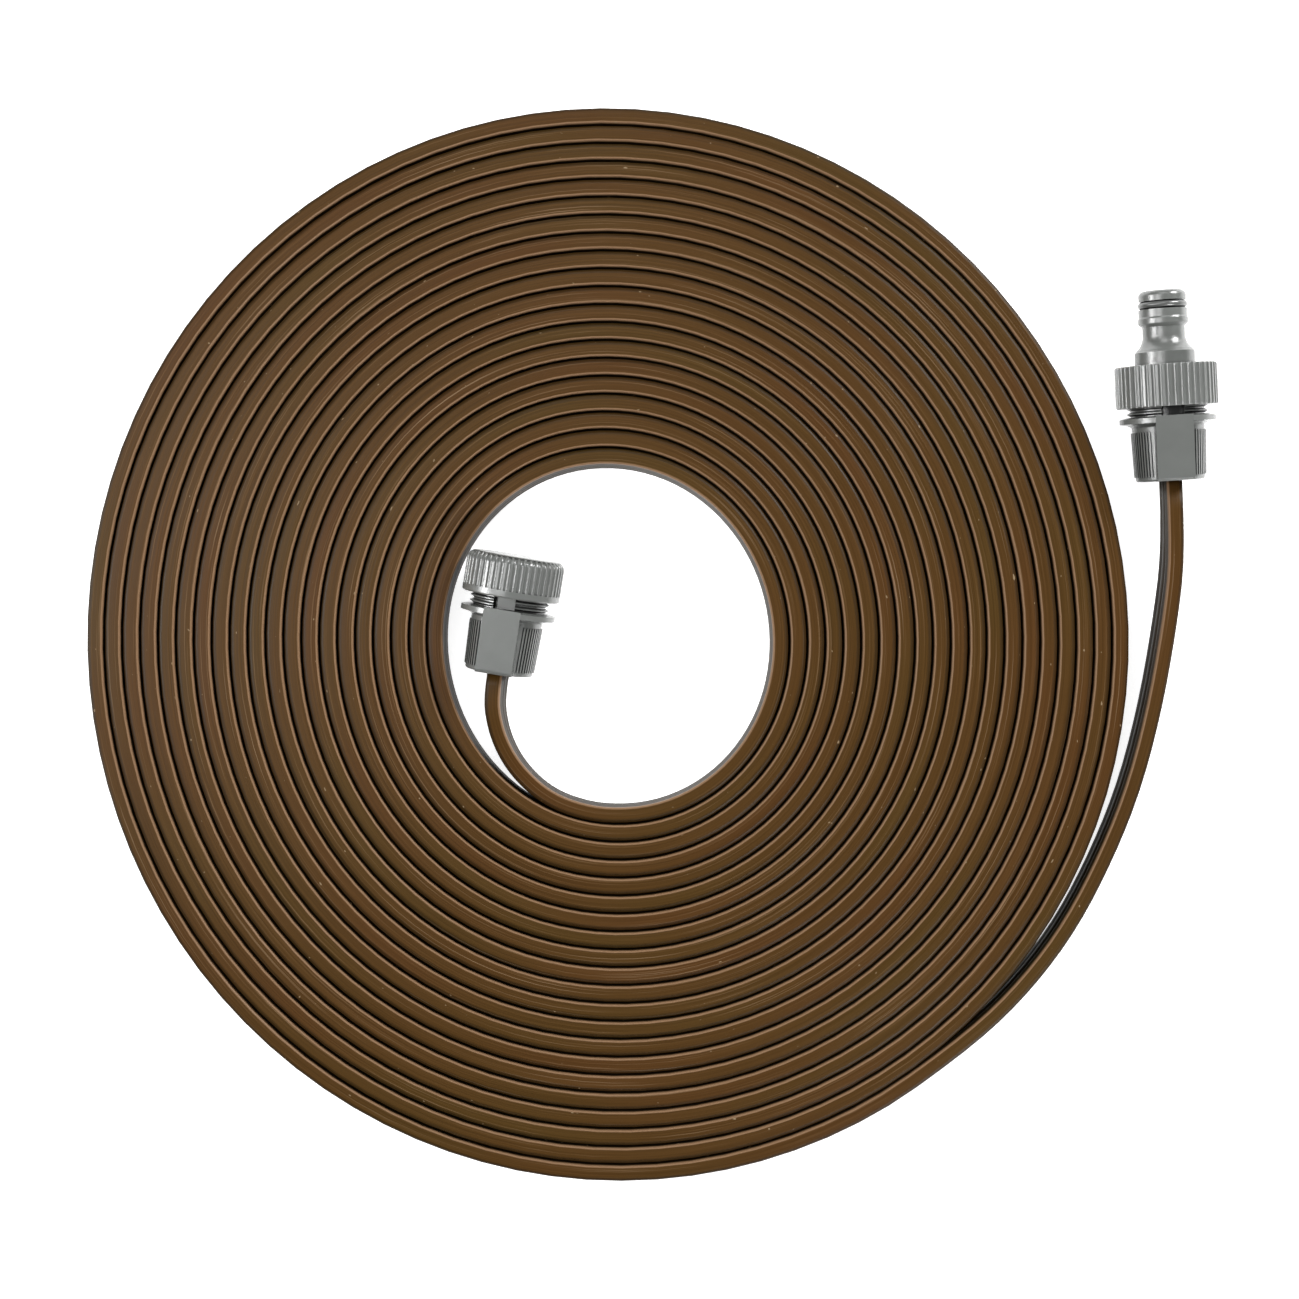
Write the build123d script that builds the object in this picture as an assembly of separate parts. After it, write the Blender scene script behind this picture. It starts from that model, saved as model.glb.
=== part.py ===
from build123d import *

import math
import os

# A soaker hose: a flat three-channel hose wound on edge into a pancake coil. A screw-together fitting
# clamps each end of it: the inlet, outside the coil, carries a quick-connect spigot under a union nut,
# and the far end, in the coil's middle, is closed by a screw cap. Millimetres and degrees, +Z up. The
# hose lies on Z = 0, and the origin is under the middle of the whole hose.

# Hose
HOSE_WIDTH = 17.1  # stands upright in the coil
HOSE_THICK = 5.7  # over the three channels
CHANNELS = 3
CHANNEL_PITCH = HOSE_WIDTH / CHANNELS
CHANNEL_RADIUS = 1.9

# Coil, counted anticlockwise from +X and growing outwards
COIL_CENTRE = (-13.4, 0.9)
START_ANGLE = 258.0
END_ANGLE = 306.0 + 20 * 360.0
START_RADIUS = 56.0
TURN_PITCH = 5.96
OVAL = 2.1  # the turns are taller than wide by twice this
OVAL_AXIS = 102.0
ARC_SPAN = 30.0  # one arc of the coil's outline
LIE_HEIGHT = HOSE_WIDTH / 2

# Both fittings, along their own axis from the sleeve's mouth
FITTING_PITCH = 4.0  # nose up, because the nut is wider than the sleeve
SLEEVE_LENGTH = 18.9
SLEEVE_MOUTH_RADIUS = 11.75
SLEEVE_TOP_RADIUS = 12.4
SLEEVE_MOUTH_ROUND = 1.2
PANEL_WIDTH = 12.2
PANEL_MOUTH_HEIGHT = 13.9  # of each flat panel from the axis, at the mouth
PANEL_TOP_HEIGHT = 14.6  # and at its top, flush with the flange
PANEL_END_ROUND = 1.2
GRIP_RIB_WIDTH = 0.6
GRIP_RIB_HEIGHT = 0.45
GRIP_RIB_ROOT = 11.0  # inside the body's surface
GRIP_RIB_STEP = 5.7
GRIP_RIBS_EACH_WAY = 9
GRIP_RIB_START = 1.6
GRIP_RIB_END = 16.4
FLANGE_RADIUS = 15.8
FLANGE_BACK = 19.3
FLANGE_TOP = 21.5
NECK_TOP = 33.2
NECK_BORE_RADIUS = 10.6
HOSE_SLOT_GAP = 0.15
SLOT_DEPTH = 14.1
STUB_LENGTH = 14.0
KEY_SLOT_WIDTH = 7.4
WALL_LAP = 0.4  # how far pieces of one solid run into each other
FLANGE_ROOT = 0.8  # how far down the body the flange's root starts
FLANGE_ROOT_STEP = 1.0
FLANGE_EDGE = 0.5

# Thread of the sleeve's neck, G 3/4, as rings
THREAD_PITCH = 1.814
THREAD_CREST = 13.22
THREAD_ROOT = 12.06
THREAD_CREST_FLAT = 0.3
THREAD_ROOT_FLAT = 0.34
THREAD_RINGS = 6
THREAD_START = FLANGE_TOP + 0.35
NUT_BORE_RADIUS = 13.3

# Barbed manifold, the same moulding in both fittings but for its key
MANIFOLD_RADIUS = 10.5
MANIFOLD_CUP_RADIUS = 8.7
DECK_THICK = 3.0
BARB_TIP = 5.2
BARB_RADIUS = 2.1
BARB_CORE = 1.75
BARB_BORE = 1.1
BARB_RINGS = 4
BARB_SLOPE = 0.75  # the share of a ring that rises, before it falls away
BARB_FALL = 0.1
BARB_STUB_BORE = 2.13
KEY_WIDTH = 5.8
KEY_SHIFT = -0.7  # a key lies against one side of its slot
KEY_RADIUS = 12.0
INLET_KEY_START = 26.0
END_KEY_START = FLANGE_TOP + 0.2

# Inlet: gasket, spigot, O-ring and union nut
INLET_MOUTH = (185.8, 53.1)  # from the coil's centre
INLET_HEADING = 93.6
INLET_ROLL = -4.0  # the panels lean to the left
NUT_START = 24.5
NUT_LENGTH = 13.8
NUT_RADIUS = 16.7
GASKET_THICK = 1.5
GASKET_RADIUS = 12.6
GASKET_HOLE = 7.0
SPIGOT_FLANGE = 1.4
SPIGOT_FLANGE_RADIUS = 12.9
COLLAR_RADIUS = 9.9
COLLAR_TOP = 43.1
COLLAR_FIT = 0.08
NECK_RADIUS = 7.0
FLARE_START = 43.4
FLARE_END = 47.7
FLARE_RADIUS = 9.2
FLARE_SAG = 0.55  # how far the flare's hollow lies inside a straight cone
SPIGOT_EDGE = 0.5
RING_START = 51.4
RING_END = 54.2
RING_RADIUS = 8.25
RING_ROUND = 0.6
LAND_RADIUS = 8.0
GROOVE_START = 56.7
GROOVE_END = 59.5
GROOVE_RADIUS = 5.75
O_RING_SECTION = 1.2
TIP_RADIUS = 7.85
TIP_END = 62.9
TIP_ROUND = 1.9
WATER_BORE = 4.6

# Far end: seal disc and screw cap
END_MOUTH = (-38.0, -10.6)
END_HEADING = 80.7
END_ROLL = -4.0
CAP_START = 25.6
CAP_LENGTH = 13.7
CAP_RADIUS = 16.3
CAP_RIM = 2.3
CAP_TOP_ROUND = 3.0
CAP_GROOVE_TURN = 62.0  # how far round the top edge the grooves reach
CAP_POCKET_RADIUS = 9.0
CAP_POCKET_DEPTH = 1.9
SEAL_THICK = 2.0
SEAL_RADIUS = 12.6
SEAT_GAP = 0.05

# Grip ribs of the nut and the cap
GRIP_GROOVES = 48
GRIP_GROOVE_RADIUS = 0.75
GRIP_GROOVE_OFFSET = 0.3  # how far outside the nut a groove's centre lies
NUT_EDGE = 0.4

BOTTOM = (Align.CENTER, Align.CENTER, Align.MIN)


def direction(angle):
    """The plan direction of an angle."""
    return math.cos(math.radians(angle)), math.sin(math.radians(angle))


def from_coil(x, y, z):
    """A point given from the coil's centre."""
    return Vector(COIL_CENTRE[0] + x, COIL_CENTRE[1] + y, z)


def turn_radius(angle):
    """The radius of the hose's centreline at an angle of the winding."""
    wound = (angle - START_ANGLE) / 360
    oval = OVAL * math.cos(math.radians(2 * (angle - OVAL_AXIS)))
    return START_RADIUS + TURN_PITCH * wound + oval


def coil_point(angle, offset=0.0, z=0.0):
    """A point of the winding, offset outwards from its centreline."""
    along, across = direction(angle)
    radius = turn_radius(angle) + offset
    return from_coil(radius * along, radius * across, z)


def spiral_wire(first, offset):
    """One closed turn of the winding's outline from an angle, with its radial step."""
    count = round(360 / ARC_SPAN)
    edges = []
    for i in range(count):
        start, middle, end = (first + (i + part) * ARC_SPAN for part in (0, 0.5, 1))
        edges.append(ThreePointArc(*(coil_point(a, offset) for a in (start, middle, end))))
    edges.append(Line(coil_point(first + 360, offset), coil_point(first, offset)))
    return Wire(edges)


def hose_coil():
    """The wound turns as one solid, with a step where each end of the hose leaves it."""
    outside = spiral_wire(END_ANGLE - 360, HOSE_THICK / 2)
    inside = spiral_wire(START_ANGLE, -HOSE_THICK / 2)
    return extrude(Face(outside, [inside]), HOSE_WIDTH)


def mouth_height(rim_radius, rim_start):
    """How high a sleeve's mouth is, with the rim of its nut or cap on the ground."""
    lean = math.radians(FITTING_PITCH)
    return rim_radius * math.cos(lean) - rim_start * math.sin(lean)


def fitting_axis(heading):
    """The way a fitting points, nose up."""
    lean = math.radians(FITTING_PITCH)
    x, y = direction(heading)
    return Vector(x * math.cos(lean), y * math.cos(lean), math.sin(lean))


def fitting_place(mouth, heading, height, roll):
    """Where a fitting's own frame lies: Z along it, Y across the hose's width, X across its thickness."""
    x, y = direction(heading)
    frame = Plane(from_coil(*mouth, height), x_dir=(-y, x, 0), z_dir=fitting_axis(heading))
    return Location(frame) * Rotation(0, 0, roll)


INLET_HEIGHT = mouth_height(NUT_RADIUS, NUT_START)
END_HEIGHT = mouth_height(CAP_RADIUS, CAP_START)
INLET_PLACE = fitting_place(INLET_MOUTH, INLET_HEADING, INLET_HEIGHT, INLET_ROLL)
END_PLACE = fitting_place(END_MOUTH, END_HEADING, END_HEIGHT, END_ROLL)

# The two free stretches of hose: a run off the coil, these points from the coil's centre, and a run
# into the sleeve
INLET_LEAVE = 16.0
INLET_ROUTE = [
    (135.5, -117.0, LIE_HEIGHT),
    (151.0, -97.0, LIE_HEIGHT),
    (163.0, -74.5, LIE_HEIGHT),
    (173.2, -49.8, LIE_HEIGHT),
    (180.3, -21.5, LIE_HEIGHT + 1.1),
    (184.9, 8.0, LIE_HEIGHT + 3.2),
]
INLET_RUN = 22.0
END_LEAVE = 3.0
END_ROUTE = [
    (-22.6, -51.6, LIE_HEIGHT),
    (-28.2, -46.8, LIE_HEIGHT + 0.3),
    (-33.0, -41.0, LIE_HEIGHT + 1.2),
    (-36.6, -34.0, LIE_HEIGHT + 2.7),
    (-38.6, -27.0, LIE_HEIGHT + 4.1),
]
END_RUN = 8.7


def path_radii(points):
    """The largest arc that each corner's two runs allow."""
    radii = []
    for before, corner, after in zip(points, points[1:], points[2:]):
        shorter = min((corner - before).length, (after - corner).length)
        turn = (corner - before).get_angle(after - corner)
        radii.append(0.45 * shorter / math.tan(math.radians(turn / 2)))
    return radii


def tail_points(angle, heading, leave, route, mouth, run):
    """The corners of a free stretch of hose, from where it leaves the coil to a sleeve's mouth."""
    start = coil_point(angle, z=LIE_HEIGHT)
    first = start + Vector(*direction(heading)) * leave
    return [start, first, *(from_coil(*point) for point in route), mouth - run, mouth]


def hose_tail(name, points):
    """A free stretch of hose on edge, in straight runs joined by tangent arcs."""
    radii = path_radii(points)
    path = FilletPolyline(*points, radius=radii)
    ahead = points[1] - points[0]
    start = Plane(points[0], x_dir=ahead.cross(Vector(0, 0, 1)), z_dir=ahead)
    tail = sweep(start * Rectangle(HOSE_THICK, HOSE_WIDTH), path=path)
    share = tail.volume / (HOSE_THICK * HOSE_WIDTH * path.length)
    print(name, "radii", [round(r) for r in radii])
    print(name, "length", round(path.length, 1), "volume", round(share, 3))
    return tail, path.length


def hose_stub():
    """The hose's end inside a sleeve, stretched over the manifold's barbs."""
    stub = Box(HOSE_THICK, HOSE_WIDTH, STUB_LENGTH, align=BOTTOM)
    barbed = STUB_LENGTH - BARB_TIP
    for y in channel_places():
        stub -= Pos(0, y, 0) * Cylinder(CHANNEL_RADIUS, STUB_LENGTH, align=BOTTOM)
        stub -= Pos(0, y, BARB_TIP) * Cylinder(BARB_STUB_BORE, barbed, align=BOTTOM)
    return stub


def channel_places():
    """Where the channels lie across the hose's width."""
    return [(i - (CHANNELS - 1) / 2) * CHANNEL_PITCH for i in range(CHANNELS)]


def turned(points):
    """A solid turned about Z from its outline, as (radius, height) points."""
    outline = Polyline(*((r, 0, z) for r, z in points), close=True)
    return revolve(make_face(outline), Axis.Z)


def thread_rings():
    """The neck with its thread, as rings of the thread's profile, still without its bore."""
    flank = (THREAD_PITCH - THREAD_CREST_FLAT - THREAD_ROOT_FLAT) / 2
    points = [(0, FLANGE_TOP - WALL_LAP), (THREAD_ROOT, FLANGE_TOP - WALL_LAP)]
    for i in range(THREAD_RINGS):
        base = THREAD_START + i * THREAD_PITCH
        points += [
            (THREAD_ROOT, base),
            (THREAD_CREST, base + flank),
            (THREAD_CREST, base + flank + THREAD_CREST_FLAT),
            (THREAD_ROOT, base + 2 * flank + THREAD_CREST_FLAT),
        ]
    points += [(THREAD_ROOT, NECK_TOP), (0, NECK_TOP)]
    return turned(points)


def sleeve_flange():
    """The thin flange between the sleeve's body and its thread, still without its bore."""
    back = SLEEVE_LENGTH - FLANGE_ROOT
    points = [
        (0, back),
        (SLEEVE_TOP_RADIUS - GRIP_RIB_HEIGHT, back),
        (SLEEVE_TOP_RADIUS + FLANGE_ROOT_STEP, SLEEVE_LENGTH),
        (FLANGE_RADIUS, FLANGE_BACK),
        (FLANGE_RADIUS, FLANGE_TOP - FLANGE_EDGE),
        (THREAD_CREST + FLANGE_EDGE, FLANGE_TOP),
        (0, FLANGE_TOP),
    ]
    return turned(points)


def tapered_body(inset):
    """The sleeve's tapered body with a rounded mouth, inset from its full size."""
    body = Cone(SLEEVE_MOUTH_RADIUS - inset, SLEEVE_TOP_RADIUS - inset, SLEEVE_LENGTH, align=BOTTOM)
    return fillet(body.edges().sort_by(Axis.Z)[0], SLEEVE_MOUTH_ROUND - inset)


def grip_ribs():
    """The fine lengthwise ribs on the body, left and right of the panels."""
    rib = Box(
        FLANGE_RADIUS - GRIP_RIB_ROOT,
        GRIP_RIB_WIDTH,
        GRIP_RIB_END - GRIP_RIB_START,
        align=(Align.MIN, Align.CENTER, Align.MIN),
    )
    rib = Pos(GRIP_RIB_ROOT, 0, GRIP_RIB_START) * rib
    steps = range(-GRIP_RIBS_EACH_WAY, GRIP_RIBS_EACH_WAY + 1)
    ribs = [Rotation(0, 0, side + i * GRIP_RIB_STEP) * rib for side in (0, 180) for i in steps]
    return tapered_body(0) & (Part() + ribs)


def panel_slab():
    """The slab between the two panels' planes, eased at the mouth: it also cuts the flange's flats."""
    corners = [(0, -PANEL_MOUTH_HEIGHT, 0), (0, PANEL_MOUTH_HEIGHT, 0)]
    corners += [(0, PANEL_TOP_HEIGHT, FLANGE_TOP), (0, -PANEL_TOP_HEIGHT, FLANGE_TOP)]
    slab = extrude(make_face(Polyline(*corners, close=True)), FLANGE_RADIUS, dir=(1, 0, 0), both=True)
    return fillet(slab.edges().filter_by(Axis.X).group_by(Axis.Z)[0], PANEL_END_ROUND)


def clamp_sleeve():
    """The ribbed sleeve that grips the hose, with its flange and its slotted, threaded neck."""
    sleeve = tapered_body(GRIP_RIB_HEIGHT) + sleeve_flange()
    sleeve += Box(PANEL_WIDTH, 2 * FLANGE_RADIUS, FLANGE_TOP, align=BOTTOM)
    sleeve &= panel_slab()
    sleeve += grip_ribs()
    sleeve += thread_rings() - Pos(0, 0, FLANGE_TOP) * Box(
        KEY_SLOT_WIDTH, 2 * FLANGE_RADIUS, NECK_TOP, align=BOTTOM
    )
    slot = Box(HOSE_THICK + 2 * HOSE_SLOT_GAP, HOSE_WIDTH + 2 * HOSE_SLOT_GAP, SLOT_DEPTH, align=BOTTOM)
    return sleeve - slot - Pos(0, 0, SLOT_DEPTH) * Cylinder(NECK_BORE_RADIUS, NECK_TOP, align=BOTTOM)


def barb():
    """One barbed tube, its tip towards the sleeve's mouth."""
    length = SLOT_DEPTH - BARB_TIP
    ring = length / BARB_RINGS
    points = [(BARB_BORE, BARB_TIP)]
    for i in range(BARB_RINGS):
        base = BARB_TIP + i * ring
        crest = base + ring * BARB_SLOPE
        points += [(BARB_CORE, base), (BARB_RADIUS, crest), (BARB_CORE, crest + ring * BARB_FALL)]
    points += [(BARB_CORE, SLOT_DEPTH + WALL_LAP), (BARB_BORE, SLOT_DEPTH + WALL_LAP)]
    return turned(points)


def barbed_manifold(key_start):
    """The cup that joins the three channels, with a barb for each and two keys in the neck's slots."""
    cup = Pos(0, 0, SLOT_DEPTH) * Cylinder(MANIFOLD_RADIUS, NECK_TOP - SLOT_DEPTH, align=BOTTOM)
    cup -= Pos(0, 0, SLOT_DEPTH + DECK_THICK) * Cylinder(MANIFOLD_CUP_RADIUS, NECK_TOP, align=BOTTOM)
    keys = Pos(KEY_SHIFT, 0, 0) * Box(KEY_WIDTH, 2 * KEY_RADIUS, NECK_TOP - key_start, align=BOTTOM)
    keys -= Cylinder(MANIFOLD_CUP_RADIUS + WALL_LAP, NECK_TOP, align=BOTTOM)
    cup += Pos(0, 0, key_start) * keys
    for y in channel_places():
        cup += Pos(0, y, 0) * barb()
        cup -= Pos(0, y, SLOT_DEPTH) * Cylinder(BARB_BORE, DECK_THICK, align=BOTTOM)
    return cup


def all_round(groove):
    """One groove's cutter repeated round a nut or a cap."""
    return [place * groove for place in PolarLocations(0, GRIP_GROOVES)]


def side_groove(radius, start, end):
    """The cutter of one straight groove between two grip ribs."""
    groove = Cylinder(GRIP_GROOVE_RADIUS, end - start, align=BOTTOM)
    return Pos(radius + GRIP_GROOVE_OFFSET, 0, start) * groove


def cap_groove():
    """The cutter of one groove up the cap's side and over its rounded edge."""
    bend_start = CAP_LENGTH - CAP_TOP_ROUND
    section = Pos(CAP_RADIUS + GRIP_GROOVE_OFFSET, 0, bend_start) * Circle(GRIP_GROOVE_RADIUS)
    hinge = Axis((CAP_RADIUS - CAP_TOP_ROUND, 0, bend_start), (0, -1, 0))
    return side_groove(CAP_RADIUS, CAP_RIM, bend_start) + revolve(section, hinge, CAP_GROOVE_TURN)


def union_nut():
    """The ribbed nut that holds the spigot on the sleeve."""
    shoulder = NECK_TOP + GASKET_THICK + SPIGOT_FLANGE + SEAT_GAP
    nut = Cylinder(NUT_RADIUS, NUT_LENGTH, align=BOTTOM)
    nut = chamfer(nut.edges().filter_by(GeomType.CIRCLE), NUT_EDGE)
    nut -= all_round(side_groove(NUT_RADIUS, 0, NUT_LENGTH))
    nut -= Cylinder(NUT_BORE_RADIUS, shoulder - NUT_START, align=BOTTOM)
    nut -= Cylinder(COLLAR_RADIUS + COLLAR_FIT, NUT_LENGTH, align=BOTTOM)
    return Pos(0, 0, NUT_START) * nut


def inlet_gasket():
    """The flat washer between the neck and the spigot."""
    ring = Cylinder(GASKET_RADIUS, GASKET_THICK, align=BOTTOM)
    ring -= Cylinder(GASKET_HOLE, GASKET_THICK, align=BOTTOM)
    return Pos(0, 0, NECK_TOP) * ring


def inlet_spigot():
    """The quick-connect spigot, turned about its axis around a straight water bore."""
    base = NECK_TOP + GASKET_THICK
    flange_top = base + SPIGOT_FLANGE
    lower = Polyline(
        (WATER_BORE, 0, base),
        (SPIGOT_FLANGE_RADIUS, 0, base),
        (SPIGOT_FLANGE_RADIUS, 0, flange_top),
        (COLLAR_RADIUS, 0, flange_top),
        (COLLAR_RADIUS, 0, COLLAR_TOP - SPIGOT_EDGE),
        (COLLAR_RADIUS - SPIGOT_EDGE, 0, COLLAR_TOP),
        (FLARE_RADIUS, 0, FLARE_START),
    )
    middle = ((FLARE_RADIUS + NECK_RADIUS) / 2 - FLARE_SAG, 0, (FLARE_START + FLARE_END) / 2)
    flare = ThreePointArc((FLARE_RADIUS, 0, FLARE_START), middle, (NECK_RADIUS, 0, FLARE_END))
    upper = Polyline(
        (NECK_RADIUS, 0, FLARE_END),
        (NECK_RADIUS, 0, RING_START - SPIGOT_EDGE),
        (RING_RADIUS - RING_ROUND, 0, RING_START),
        (RING_RADIUS, 0, RING_START + RING_ROUND),
        (RING_RADIUS, 0, RING_END - RING_ROUND),
        (LAND_RADIUS, 0, RING_END),
        (LAND_RADIUS, 0, GROOVE_START),
        (GROOVE_RADIUS, 0, GROOVE_START),
        (GROOVE_RADIUS, 0, GROOVE_END),
        (TIP_RADIUS, 0, GROOVE_END),
        (TIP_RADIUS, 0, TIP_END - TIP_ROUND),
    )
    tip_top = TIP_RADIUS - TIP_ROUND
    tip_side = TIP_END - TIP_ROUND
    reach = TIP_ROUND * math.sqrt(0.5)
    dome = ThreePointArc(
        (TIP_RADIUS, 0, tip_side), (tip_top + reach, 0, tip_side + reach), (tip_top, 0, TIP_END)
    )
    closing = Polyline((tip_top, 0, TIP_END), (WATER_BORE, 0, TIP_END), (WATER_BORE, 0, base))
    return revolve(make_face(Curve() + [lower, flare, upper, dome, closing]), Axis.Z)


def spigot_o_ring():
    """The O-ring in the spigot's groove."""
    middle = (GROOVE_START + GROOVE_END) / 2
    return Pos(0, 0, middle) * Torus(GROOVE_RADIUS + O_RING_SECTION, O_RING_SECTION)


def end_seal_disc():
    """The disc that closes the far manifold under the cap."""
    return Pos(0, 0, NECK_TOP) * Cylinder(SEAL_RADIUS, SEAL_THICK, align=BOTTOM)


def end_cap_nut():
    """The ribbed screw cap with a plain rim and a rounded, closed top."""
    depth = NECK_TOP + SEAL_THICK + SEAT_GAP - CAP_START
    cap = Cylinder(CAP_RADIUS, CAP_LENGTH, align=BOTTOM)
    cap = fillet(cap.edges().sort_by(Axis.Z)[-1], CAP_TOP_ROUND)
    cap = chamfer(cap.edges().sort_by(Axis.Z)[0], NUT_EDGE)
    cap -= all_round(cap_groove())
    cap -= Cylinder(NUT_BORE_RADIUS, depth, align=BOTTOM)
    cap -= Cylinder(CAP_POCKET_RADIUS, depth + CAP_POCKET_DEPTH, align=BOTTOM)
    return Pos(0, 0, CAP_START) * cap


def hose_nodes():
    """The hose's own nodes: the coil, its two free stretches and its two ends in the sleeves."""
    inlet_mouth = from_coil(*INLET_MOUTH, INLET_HEIGHT)
    inlet_run = fitting_axis(INLET_HEADING) * INLET_RUN
    inlet_points = tail_points(
        END_ANGLE, END_ANGLE + 90, INLET_LEAVE, INLET_ROUTE, inlet_mouth, inlet_run
    )
    end_mouth = from_coil(*END_MOUTH, END_HEIGHT)
    end_run = fitting_axis(END_HEADING) * END_RUN
    end_points = tail_points(START_ANGLE, START_ANGLE - 90, END_LEAVE, END_ROUTE, end_mouth, end_run)
    inlet_tail, inlet_length = hose_tail("inlet tail", inlet_points)
    end_tail, end_length = hose_tail("end tail", end_points)
    print("hose length", round(coil_length() + inlet_length + end_length + 2 * STUB_LENGTH))
    return {
        "hose_coil": hose_coil(),
        "hose_inlet_tail": inlet_tail,
        "hose_end_tail": end_tail,
        "hose_inlet_end": INLET_PLACE * hose_stub(),
        "hose_far_end": END_PLACE * hose_stub(),
    }


def coil_length():
    """The length of hose in the coil, summed a degree at a time."""
    degrees = round(END_ANGLE - START_ANGLE)
    points = [coil_point(START_ANGLE + i) for i in range(degrees + 1)]
    return sum((b - a).length for a, b in zip(points, points[1:]))


def fitting_nodes():
    """The pieces of both fittings, in place."""
    sleeve = clamp_sleeve()
    inlet = {
        "inlet_clamp_sleeve": sleeve,
        "inlet_barbed_manifold": barbed_manifold(INLET_KEY_START),
        "inlet_gasket": inlet_gasket(),
        "inlet_spigot": inlet_spigot(),
        "spigot_o_ring": spigot_o_ring(),
        "inlet_union_nut": union_nut(),
    }
    far = {
        "end_clamp_sleeve": sleeve,
        "end_barbed_manifold": barbed_manifold(END_KEY_START),
        "end_seal_disc": end_seal_disc(),
        "end_cap_nut": end_cap_nut(),
    }
    placed = {name: INLET_PLACE * piece for name, piece in inlet.items()}
    placed.update({name: END_PLACE * piece for name, piece in far.items()})
    return placed


def main():
    """Writes every node as its own STEP file."""
    os.makedirs("parts", exist_ok=True)
    nodes = {**hose_nodes(), **fitting_nodes()}
    for name, piece in nodes.items():
        export_step(piece, f"parts/{name}.step")
    box = Compound(children=[*nodes.values()]).bounding_box()
    print("box", box.min, box.max)
    print("inlet mouth", INLET_PLACE.position, "axis", fitting_axis(INLET_HEADING))
    print("end mouth", END_PLACE.position, "axis", fitting_axis(END_HEADING))


main()
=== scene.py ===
import math

import bpy
import numpy as np
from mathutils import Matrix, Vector


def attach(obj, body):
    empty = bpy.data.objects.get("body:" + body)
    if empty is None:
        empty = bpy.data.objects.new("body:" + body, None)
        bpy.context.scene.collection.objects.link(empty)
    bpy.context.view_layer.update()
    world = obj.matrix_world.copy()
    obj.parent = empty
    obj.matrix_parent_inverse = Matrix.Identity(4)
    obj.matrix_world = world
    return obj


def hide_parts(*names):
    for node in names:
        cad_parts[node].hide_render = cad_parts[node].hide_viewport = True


# A flat three-channel soaker hose, wound on edge into a flat coil, with a grey plastic fitting on each
# end. Metres and degrees, +Z up. The hose's route is the CAD model's, and the fittings are its nodes.

# Coil
COIL_CENTRE = (-0.0134, 0.0009)
START_ANGLE = 258.0
END_ANGLE = 306.0 + 20 * 360.0
START_RADIUS = 0.0560
TURN_PITCH = 0.00596
OVAL = 0.0021
OVAL_AXIS = 102.0
TURN_POINTS = 24
LIE_HEIGHT = 0.00855

# Fittings
FITTING_PITCH = 4.0
INLET_MOUTH = (0.1724, 0.0540, 0.0149503)
INLET_HEADING = 93.6
INLET_ROLL = -4.0
END_MOUTH = (-0.0514, -0.0097, 0.0144745)
END_HEADING = 80.7
END_ROLL = -4.0

# Free stretches of hose: a run off the coil, points from the coil's centre, a run into the sleeve
INLET_LEAVE = 0.016
INLET_ROUTE = [
    (0.1355, -0.1170, LIE_HEIGHT),
    (0.1510, -0.0970, LIE_HEIGHT),
    (0.1630, -0.0745, LIE_HEIGHT),
    (0.1732, -0.0498, LIE_HEIGHT),
    (0.1803, -0.0215, LIE_HEIGHT + 0.0011),
    (0.1849, 0.0080, LIE_HEIGHT + 0.0032),
]
INLET_RUN = 0.022
END_LEAVE = 0.003
END_ROUTE = [
    (-0.0226, -0.0516, LIE_HEIGHT),
    (-0.0282, -0.0468, LIE_HEIGHT + 0.0003),
    (-0.0330, -0.0410, LIE_HEIGHT + 0.0012),
    (-0.0366, -0.0340, LIE_HEIGHT + 0.0027),
    (-0.0386, -0.0270, LIE_HEIGHT + 0.0041),
]
END_RUN = 0.0087

# Hose section: three bulging channels between two flat edges, each with a crisp corner on the coil's
# inner side and a rounded shoulder on its outer side
HOSE_WIDTH = 0.0171
CHANNELS = 3
CHANNEL_PITCH = HOSE_WIDTH / CHANNELS
GROOVE_HALF = 0.0022  # half the thickness in a groove
SIDE_HALF = 0.00297  # half the thickness over a channel
CHANNEL_STEPS = 3  # outline points from a channel's middle to its groove
INNER_WALL = 0.0024  # from the line to the inner wall, next to the edge
INNER_ROUND = 0.0005
INNER_FLAT = 0.0009  # how far down the inner wall stays upright
OUTER_WALL = 0.0026
OUTER_ROUND = 0.0014
OUTER_DROP = 0.0011
SHOULDER_STEPS = 3
LINE_SAMPLES = 4  # points read from the line for each of its control points
ROLL_LENGTH = 0.045  # the stretch over which the hose turns to lie as its sleeve does

# Where the hose's colour changes, for its painted shade and painted highlight: heights below its edge and
# places across its thickness
EDGE_REACH = (0.0015, 0.0009)  # the edge's colour fades in over these depths
SHOULDER_SHADE_REACH = (-0.0019, -0.0011)
CORNER_HIGHLIGHT_REACH = (INNER_WALL - 0.0007, INNER_WALL - 0.0004)
DIE_LINES = (14.0, 2600.0)  # noise along the hose and across it
SPECKS = (520.0, 900.0)
DRIFT = 9.0

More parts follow.
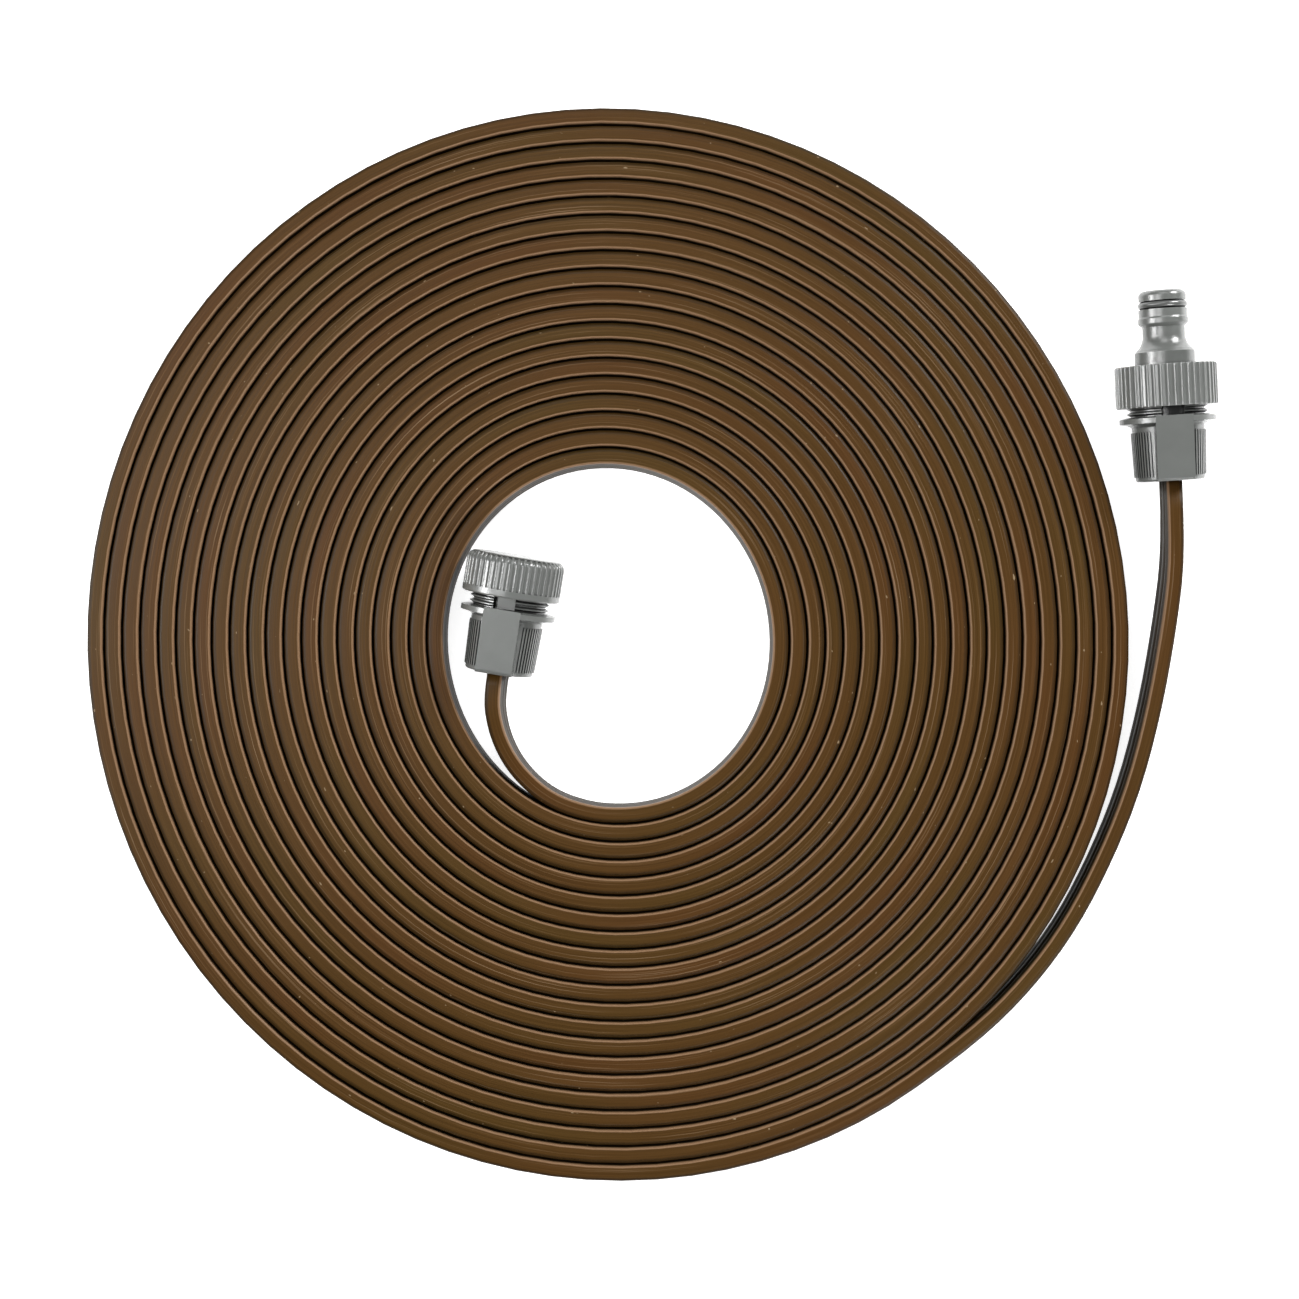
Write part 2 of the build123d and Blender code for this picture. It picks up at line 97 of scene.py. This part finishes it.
# Colours
HOSE_BROWN = (0.067, 0.028, 0.0055, 1)
HOSE_OLIVE = (0.060, 0.030, 0.0050, 1)
HOSE_DARK_LINE = (0.74, 0.74, 0.76, 1)
HOSE_PALE_LINE = (0.17, 0.11, 0.06, 1)
HOSE_SPECK = (0.20, 0.14, 0.08, 1)
HOSE_CORNER_HIGHLIGHT = (0.20, 0.118, 0.064, 1)  # painted highlight, pale along the crisp corner
HOSE_SHOULDER_SHADE = (0.5, 0.54, 0.62, 1)  # painted shade, duller over the rounded shoulder
HOSE_WALL_SHADE = (0.32, 0.42, 0.75, 1)  # painted shade, darker and colder below the edge, where the walls sit in the gaps between turns
FITTING_GREY = (0.122, 0.128, 0.122, 1)
# painted shade: the inlet manifold near black, standing for the deep dark down in the sleeve's slots
MANIFOLD_SHADE = (0.02, 0.021, 0.021, 1)
O_RING_GREY = (0.085, 0.088, 0.085, 1)
# painted shade for the plastic's grooves and recesses
GROOVE_SHADE = (0.1, 0.1, 0.105, 1)
GROOVE_REACH = 0.0016  # how near another surface makes a place a groove
CLOUD_SHADE = 0.92  # how much darker the plastic is in its rubbed patches
SEAL_DARK = (0.012, 0.012, 0.012, 1)
SEAL_BLACK = (0.022, 0.021, 0.02, 1)

# Lights: name, azimuth, elevation, size and power
LIGHT_DISTANCE = 1.6
LIGHTS = [
    ("light_right_back", 40, 28, 0.5, 24),
    ("light_right_front", 310, 32, 0.5, 16),
    ("light_left", 165, 62, 0.6, 9),
    ("light_left_low", 176, 28, 0.4, 15),
    ("light_back", 96, 52, 0.5, 4),
]
WORLD_LIGHT = 0.15
FLOOR_HALF = 40.0
FLOOR_WHITE = (0.9, 0.9, 0.9, 1)
FLOOR_GLOW = 0.86

# Camera
VIEW_CENTRE = (-0.0011, -0.00225)
VIEW_HEIGHT = 0.79
VIEW_WIDTH = 0.4313  # what the camera sees across, at the hose's top edge
SENSOR = 36.0
NEAR_CLIP = 0.01


def direction(angle):
    """The plan direction of an angle."""
    return math.cos(math.radians(angle)), math.sin(math.radians(angle))


def from_coil(x, y, z):
    """A point given from the coil's centre."""
    return Vector((COIL_CENTRE[0] + x, COIL_CENTRE[1] + y, z))


def coil_point(angle, out=1.0):
    """A point of the winding's centreline, its radius scaled by out."""
    wound = (angle - START_ANGLE) / 360
    oval = OVAL * math.cos(math.radians(2 * (angle - OVAL_AXIS)))
    radius = (START_RADIUS + TURN_PITCH * wound + oval) * out
    x, y = direction(angle)
    return from_coil(radius * x, radius * y, LIE_HEIGHT)


def fitting_axis(heading):
    """The way a fitting points, nose up."""
    lean = math.radians(FITTING_PITCH)
    x, y = direction(heading)
    return Vector((x * math.cos(lean), y * math.cos(lean), math.sin(lean)))


def tail_controls(angle, heading, leave, route, mouth, axis, run):
    """The control points of a free stretch, from the coil to a sleeve's mouth."""
    start = coil_point(angle)
    first = start + Vector((*direction(heading), 0)) * leave
    mouth = Vector(mouth)
    return [first, *(from_coil(*point) for point in route), mouth - axis * run, mouth]


def coil_controls():
    """The control points of the turns, from the outermost to the innermost.

    The line touches the middle of each run between two of them, so they lie a little outside it.
    """
    step = 360 / TURN_POINTS
    out = 1 / math.cos(math.radians(step / 2))
    count = math.floor((END_ANGLE - START_ANGLE) / step)
    first = (END_ANGLE - START_ANGLE - (count - 1) * step) / 2
    return [coil_point(END_ANGLE - first - i * step, out) for i in range(count)]


def spline_line(name, controls, samples):
    """Points read from the NURBS line of these control points."""
    curve = bpy.data.curves.new(name, "CURVE")
    curve.dimensions = "3D"
    curve.resolution_u = samples
    spline = curve.splines.new("NURBS")
    spline.points.add(len(controls) - 1)
    for point, place in zip(spline.points, controls):
        point.co = (*place, 1)
    spline.order_u = 3
    spline.use_endpoint_u = True
    line = bpy.data.objects.new(name, curve)
    bpy.context.scene.collection.objects.link(line)
    mesh = bpy.data.meshes.new_from_object(line.evaluated_get(bpy.context.evaluated_depsgraph_get()))
    points = np.array([v.co for v in mesh.vertices])
    bpy.data.meshes.remove(mesh)
    bpy.data.objects.remove(line)
    return points


def side_half(height):
    """Half the hose's thickness over its channels, at a height from its middle."""
    nearest = round(height / CHANNEL_PITCH) * CHANNEL_PITCH
    bulge = SIDE_HALF - GROOVE_HALF
    radius = (CHANNEL_PITCH**2 / 4 + bulge**2) / (2 * bulge)
    return SIDE_HALF - radius + math.sqrt(radius**2 - (height - nearest) ** 2)


def eased_corner(wall, top_round, drop, steps=SHOULDER_STEPS):
    """The corner from a wall up to the hose's edge, as a quarter of an ellipse."""
    half = HOSE_WIDTH / 2
    points = []
    for i in range(steps + 1):
        x, y = direction(90 * i / steps)
        points.append((wall - top_round + top_round * x, half - drop + drop * y))
    return points


def hose_section():
    """The hose's outline as (across, up) points, anticlockwise, the coil's inner side first."""
    count = 2 * CHANNEL_STEPS
    heights = [i * CHANNEL_PITCH / count for i in range(-count, count + 1)]
    half = HOSE_WIDTH / 2
    inner = [(side_half(height), height) for height in heights]
    inner.append((INNER_WALL, half - INNER_FLAT))
    inner += eased_corner(INNER_WALL, INNER_ROUND, INNER_ROUND)
    inner.append((INNER_WALL - 2 * INNER_ROUND, half))
    outer = [(-x, z) for x, z in reversed(eased_corner(OUTER_WALL, OUTER_ROUND, OUTER_DROP))]
    outer += [(-side_half(height), height) for height in reversed(heights)]
    lower_outer = [(-x, -z) for x, z in eased_corner(OUTER_WALL, OUTER_ROUND, OUTER_DROP, 1)]
    lower_inner = [(x, -z) for x, z in reversed(eased_corner(INNER_WALL, INNER_ROUND, INNER_ROUND, 1))]
    return inner + outer + lower_outer + lower_inner


def unit(vectors):
    """The same vectors, each one long."""
    return vectors / np.linalg.norm(vectors, axis=1)[:, None]


def section_axes(points, rolls):
    """The section's two axes at each point: upright, then rolled about the line."""
    tangents = unit(np.gradient(points, axis=0))
    ups = unit(np.array([0.0, 0.0, 1.0]) - tangents * tangents[:, 2:3])
    sides = np.cross(tangents, ups)
    cos, sin = np.cos(rolls)[:, None], np.sin(rolls)[:, None]
    return sides * cos + ups * sin, ups * cos - sides * sin


def distances(points):
    """How far along the line each point is."""
    steps = np.linalg.norm(np.diff(points, axis=0), axis=1)
    return np.concatenate([[0], np.cumsum(steps)])


def ribbon_faces(rows, columns):
    """The faces of a closed tube of rows of points, with both ends capped."""
    faces = []
    for i in range(rows - 1):
        for j in range(columns):
            k = (j + 1) % columns
            faces.append((i * columns + j, (i + 1) * columns + j, (i + 1) * columns + k, i * columns + k))
    faces.append(tuple(range(columns)))
    faces.append(tuple(reversed(range((rows - 1) * columns, rows * columns))))
    return faces


def ribbon_mesh(name, points, rolls, section):
    """A mesh with this section along the points, and each point's place in it stored for the material."""
    across, upward = section_axes(points, rolls)
    outline = np.array(section)
    rings = points[:, None] + across[:, None] * outline[:, :1] + upward[:, None] * outline[:, 1:]
    rows, columns = len(points), len(section)
    mesh = bpy.data.meshes.new(name)
    mesh.from_pydata(rings.reshape(-1, 3).tolist(), [], ribbon_faces(rows, columns))
    add_values(mesh, "along", np.repeat(distances(points), columns))
    add_values(mesh, "across", np.tile(outline[:, 0], rows))
    add_values(mesh, "height", np.tile(outline[:, 1], rows))
    return mesh


def add_values(mesh, name, values):
    """Stores one number for each of a mesh's points."""
    attribute = mesh.attributes.new(name, "FLOAT", "POINT")
    attribute.data.foreach_set("value", np.asarray(values, np.float32))


def near(distance):
    """A share that falls smoothly from 1 at a sleeve to 0 where the hose's roll ends."""
    share = np.clip(1 - distance / ROLL_LENGTH, 0, 1)
    return share * share * (3 - 2 * share)


def hose():
    """The whole hose in one piece, on its line. Its across axis points to the coil's middle."""
    inlet = tail_controls(
        END_ANGLE, END_ANGLE + 90, INLET_LEAVE, INLET_ROUTE, INLET_MOUTH, INLET_AXIS, INLET_RUN
    )
    end = tail_controls(
        START_ANGLE, START_ANGLE - 90, END_LEAVE, END_ROUTE, END_MOUTH, END_AXIS, END_RUN
    )
    controls = [*reversed(inlet), *coil_controls(), *end]
    points = spline_line("hose_line", controls, LINE_SAMPLES)
    gone = distances(points)
    rolls = math.radians(INLET_ROLL) * near(gone) - math.radians(END_ROLL) * near(gone[-1] - gone)
    mesh = ribbon_mesh("hose", points, rolls, hose_section())
    piece = bpy.data.objects.new("hose_ribbon", mesh)
    bpy.context.scene.collection.objects.link(piece)
    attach(piece, "hose")
    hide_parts("hose_coil", "hose_inlet_tail", "hose_end_tail")
    mesh.materials.append(hose_material())
    mesh.shade_smooth()


def camera():
    """The camera, straight above the coil."""
    data = bpy.data.cameras.new("camera")
    data.sensor_width = SENSOR
    data.lens = SENSOR * (VIEW_HEIGHT - HOSE_WIDTH) / VIEW_WIDTH
    data.clip_start = NEAR_CLIP
    view = bpy.data.objects.new("camera", data)
    view.location = (*VIEW_CENTRE, VIEW_HEIGHT)
    bpy.context.scene.collection.objects.link(view)
    bpy.context.scene.camera = view


def area_light(name, azimuth, elevation, size, power):
    """A square soft light that faces the coil."""
    data = bpy.data.lights.new(name, "AREA")
    data.size = size
    data.energy = power
    light = bpy.data.objects.new(name, data)
    x, y = direction(azimuth)
    level, rise = direction(elevation)
    light.location = Vector((x * level, y * level, rise)) * LIGHT_DISTANCE
    light.rotation_euler = (-light.location).to_track_quat("-Z", "Y").to_euler()
    bpy.context.scene.collection.objects.link(light)


class Nodes:
    """A short way to build one material's nodes."""

    def __init__(self, name):
        self.material = bpy.data.materials.new(name)
        self.material.use_nodes = True
        self.tree = self.material.node_tree
        self.shader = self.tree.nodes["Principled BSDF"]

    def add(self, kind, **values):
        """Adds a node: a key that names an input is plugged in or set, any other is a property."""
        node = self.tree.nodes.new(kind)
        for key, value in values.items():
            if hasattr(node, key):
                setattr(node, key, value)
        for key, value in values.items():
            if not hasattr(node, key):
                self.put(node.inputs[int(key[1:]) if key[1:].isdigit() else key.replace("_", " ")], value)
        return node

    def put(self, socket, value):
        """Sets a socket to a value, or links it to a node's first output or to an output."""
        if isinstance(value, bpy.types.Node):
            value = value.outputs[0]
        if isinstance(value, bpy.types.NodeSocket):
            self.tree.links.new(value, socket)
        else:
            socket.default_value = value

    def set(self, **values):
        """Sets or links inputs of the shader."""
        for key, value in values.items():
            self.put(self.shader.inputs[key.replace("_", " ")], value)

    def times(self, a, b):
        """Two values multiplied."""
        return self.add("ShaderNodeMath", operation="MULTIPLY", _0=a, _1=b)

    def tinted(self, colour, tint):
        """A colour multiplied by another."""
        return self.mix(1.0, colour, tint, "MULTIPLY")

    def attribute(self, name):
        """A number stored at each of the mesh's points."""
        return self.add("ShaderNodeAttribute", attribute_name=name).outputs["Fac"]

    def stretched(self, place, scales):
        """A place in the hose, its length scaled by one number and its section by another."""
        lengthwise, crosswise = scales
        along, across, height = place
        return self.add(
            "ShaderNodeCombineXYZ",
            X=self.times(along, lengthwise),
            Y=self.times(across, crosswise),
            Z=self.times(height, crosswise),
        )

    def mix(self, factor, a, b, blend="MIX"):
        """Two colours mixed."""
        node = self.add("ShaderNodeMix", data_type="RGBA", blend_type=blend)
        for socket, value in zip((node.inputs[0], node.inputs[6], node.inputs[7]), (factor, a, b)):
            self.put(socket, value)
        return node.outputs[2]

    def noise(self, vector, scale, detail=2.0):
        """Noise from 0 to 1."""
        node = self.add("ShaderNodeTexNoise", Vector=vector, Scale=scale, Detail=detail)
        return node.outputs["Fac"]

    def ramp(self, value, low, high, bottom=0.0, top=1.0):
        """A value stretched from one range to another, and held inside it."""
        node = self.add("ShaderNodeMapRange", clamp=True)
        for key, number in (("From Min", low), ("From Max", high), ("To Min", bottom), ("To Max", top)):
            node.inputs[key].default_value = number
        self.put(node.inputs["Value"], value)
        return node

    def bump(self, height, distance, strength=1.0):
        """A bump of this height."""
        return self.add("ShaderNodeBump", Height=height, Distance=distance, Strength=strength)


def hose_brown(n, along, lines):
    """Brown that drifts along the hose, with darker and paler die lines."""
    drift = n.noise(n.add("ShaderNodeCombineXYZ", X=n.times(along, DRIFT)), 1.0, 1.0)
    tint = n.mix(n.ramp(drift, 0.35, 0.65), HOSE_BROWN, HOSE_OLIVE)
    lined = n.mix(n.ramp(lines, 0.3, 0.6), n.tinted(tint, HOSE_DARK_LINE), tint)
    return n.mix(n.ramp(lines, 0.62, 0.78), lined, HOSE_PALE_LINE)


def edge_painted_shade_and_highlight(n, brown, across, height):
    """Painted shade, colder and darker, on the walls below the edge and over the outer shoulder, and a
    painted highlight along the inner corner.
    """
    edge = HOSE_WIDTH / 2
    upper = n.ramp(height, *(edge - depth for depth in EDGE_REACH))
    # painted shade over the rounded outer shoulder, on the edge only
    shoulder = n.times(n.ramp(across, *SHOULDER_SHADE_REACH, 1.0, 0.0), upper)
    # painted highlight: a pale line along the crisp inner corner, on the edge only
    corner = n.times(n.ramp(across, *CORNER_HIGHLIGHT_REACH), upper)
    # painted shade on the walls below the edge
    body = n.mix(upper, n.tinted(brown, HOSE_WALL_SHADE), brown)
    shoulder_shaded = n.mix(shoulder, body, n.tinted(brown, HOSE_SHOULDER_SHADE))
    return n.mix(corner, shoulder_shaded, HOSE_CORNER_HIGHLIGHT)


def hose_material():
    """Dark brown extruded rubber: lengthwise die lines, slow drifts of tint and a few pale specks, with
    painted shade on its walls and outer shoulder and a painted highlight on its inner corner.
    """
    n = Nodes("hose_rubber")
    place = [n.attribute(name) for name in ("along", "across", "height")]
    along, across, height = place
    lines = n.noise(n.stretched(place, DIE_LINES), 1.0, 3.0)
    specks = n.ramp(n.noise(n.stretched(place, SPECKS), 1.0, 0.0), 0.86, 0.89)
    colour = edge_painted_shade_and_highlight(n, hose_brown(n, along, lines), across, height)
    n.set(Base_Color=n.mix(specks, colour, HOSE_SPECK), Roughness=n.ramp(lines, 0.3, 0.7, 0.36, 0.5))
    n.set(Specular_IOR_Level=0.14, Normal=n.bump(lines, 0.00008))
    return n.material


def plastic_material(name, colour):
    """Satin moulded plastic with a faint eroded grain, rubbed patches and painted shade in its grooves.
    """
    n = Nodes(name)
    place = n.add("ShaderNodeTexCoord").outputs["Object"]
    grain = n.noise(place, 5200.0, 2.0)
    cloud = n.noise(place, 90.0, 3.0)
    darker = tuple(channel * CLOUD_SHADE for channel in colour[:3]) + (1,)
    open_to_light = n.add("ShaderNodeAmbientOcclusion", samples=6, Distance=GROOVE_REACH).outputs["AO"]
    unshaded = n.mix(n.ramp(cloud, 0.35, 0.65), colour, darker)
    # painted shade: darker where ambient occlusion finds other surfaces near
    n.set(Base_Color=n.mix(n.ramp(open_to_light, 0.35, 0.85), n.tinted(unshaded, GROOVE_SHADE), unshaded))
    n.set(Roughness=n.ramp(cloud, 0.3, 0.7, 0.2, 0.23), Specular_IOR_Level=1.0)
    n.set(Normal=n.bump(grain, 0.00004))
    return n.material


def seal_material():
    """Matte black rubber."""
    n = Nodes("seal_rubber")
    place = n.add("ShaderNodeTexCoord").outputs["Object"]
    grain = n.noise(place, 3000.0, 2.0)
    n.set(Base_Color=n.mix(grain, SEAL_DARK, SEAL_BLACK))
    n.set(Roughness=n.ramp(grain, 0.3, 0.7, 0.5, 0.62))
    n.set(Normal=n.bump(grain, 0.00003))
    return n.material


def floor_material():
    """The white floor, a little lit from below as a light table is."""
    n = Nodes("floor")
    n.set(Base_Color=FLOOR_WHITE, Roughness=0.9)
    n.set(Emission_Color=(1, 1, 1, 1), Emission_Strength=FLOOR_GLOW)
    return n.material


def floor():
    """The white floor."""
    mesh = bpy.data.meshes.new("floor")
    corners = [(x * FLOOR_HALF, y * FLOOR_HALF, 0) for x, y in ((-1, -1), (1, -1), (1, 1), (-1, 1))]
    mesh.from_pydata(corners, [], [(0, 1, 2, 3)])
    mesh.materials.append(floor_material())
    piece = bpy.data.objects.new("floor", mesh)
    bpy.context.scene.collection.objects.link(piece)


def surroundings():
    """A dim white sky."""
    world = bpy.data.worlds.new("world")
    bpy.context.scene.world = world
    world.use_nodes = True
    background = world.node_tree.nodes["Background"]
    background.inputs["Color"].default_value = (1, 1, 1, 1)
    background.inputs["Strength"].default_value = WORLD_LIGHT


def paint_fittings(nodes):
    """Gives the fittings' pieces their materials."""
    grey = plastic_material("fitting_plastic", FITTING_GREY)
    seal = seal_material()
    special = {
        # painted shade: the inlet manifold near black for the dark down in the slots
        "inlet_barbed_manifold": plastic_material("manifold_plastic", MANIFOLD_SHADE),
        "spigot_o_ring": plastic_material("o_ring_rubber", O_RING_GREY),
        "inlet_gasket": seal,
        "end_seal_disc": seal,
    }
    for name, piece in nodes.items():
        piece.data.materials.clear()
        piece.data.materials.append(special.get(name, grey))


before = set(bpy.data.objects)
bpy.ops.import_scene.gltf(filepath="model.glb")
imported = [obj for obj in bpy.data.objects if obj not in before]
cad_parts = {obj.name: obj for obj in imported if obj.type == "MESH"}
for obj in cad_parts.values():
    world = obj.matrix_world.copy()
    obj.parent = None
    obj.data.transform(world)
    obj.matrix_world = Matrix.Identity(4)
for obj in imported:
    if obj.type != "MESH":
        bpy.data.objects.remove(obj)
bpy.context.scene.view_settings.view_transform = "Standard"
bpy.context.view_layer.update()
INLET_AXIS = fitting_axis(INLET_HEADING)
END_AXIS = fitting_axis(END_HEADING)

camera()
hose()
floor()
surroundings()
for light in LIGHTS:
    area_light(*light)
paint_fittings(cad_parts)
